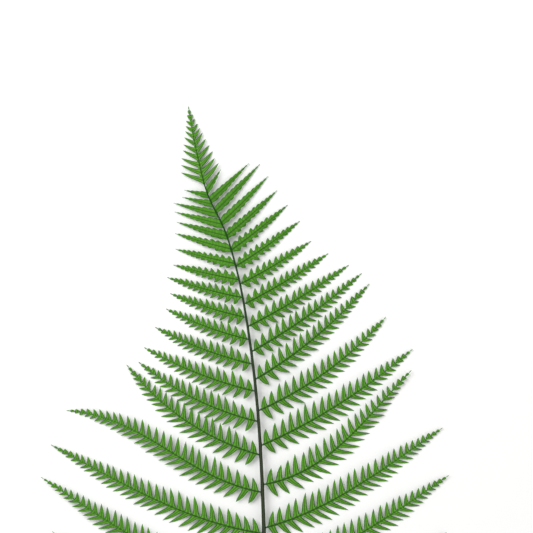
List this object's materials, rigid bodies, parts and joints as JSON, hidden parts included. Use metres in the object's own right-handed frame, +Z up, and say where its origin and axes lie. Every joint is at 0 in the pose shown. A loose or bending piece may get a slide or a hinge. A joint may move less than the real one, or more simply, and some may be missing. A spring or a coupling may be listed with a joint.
{
  "type": "bracken frond",
  "caption": "Cut bracken frond lying flat: a tapering stalk with alternate side leaflets of narrow pointed segments, ending in a lobed tip blade.",
  "frame": {"origin": "middle of the frond's box in plan, on the surface that it lies on", "axes": "+Y along the frond from the stalk's cut end to the tip, +Z up from the surface, through the leaf's upper face, +X to the right"},
  "size_m": [0.2648, 0.512, 0.0061],
  "materials": {
    "blade": "matt leaf green, paler and speckled brown along each segment's vein, deeper green at the margins",
    "stalk": "dark charcoal brown, dull, greener towards the tip"
  },
  "bodies": {
    "root": {"stipe_and_rachis": "stalk", "tip_blade": "blade", "left_pinna_01": "blade", "left_pinna_02": "blade", "left_pinna_03": "blade", "left_pinna_04": "blade", "left_pinna_05": "blade", "left_pinna_06": "blade", "left_pinna_07": "blade", "left_pinna_08": "blade", "left_pinna_09": "blade", "left_pinna_10": "blade", "left_pinna_11": "blade", "left_pinna_12": "blade", "left_pinna_13": "blade", "left_pinna_14": "blade", "left_pinna_15": "blade", "left_pinna_16": "blade", "left_pinna_17": "blade", "left_pinna_18": "blade", "left_pinna_19": "blade", "left_pinna_20": "blade", "right_pinna_01": "blade", "right_pinna_02": "blade", "right_pinna_03": "blade", "right_pinna_04": "blade", "right_pinna_05": "blade", "right_pinna_06": "blade", "right_pinna_07": "blade", "right_pinna_08": "blade", "right_pinna_09": "blade", "right_pinna_10": "blade", "right_pinna_11": "blade", "right_pinna_12": "blade", "right_pinna_13": "blade", "right_pinna_14": "blade", "right_pinna_15": "blade", "right_pinna_16": "blade", "right_pinna_17": "blade", "right_pinna_18": "blade", "right_pinna_19": "blade"}
  },
  "joints": []
}
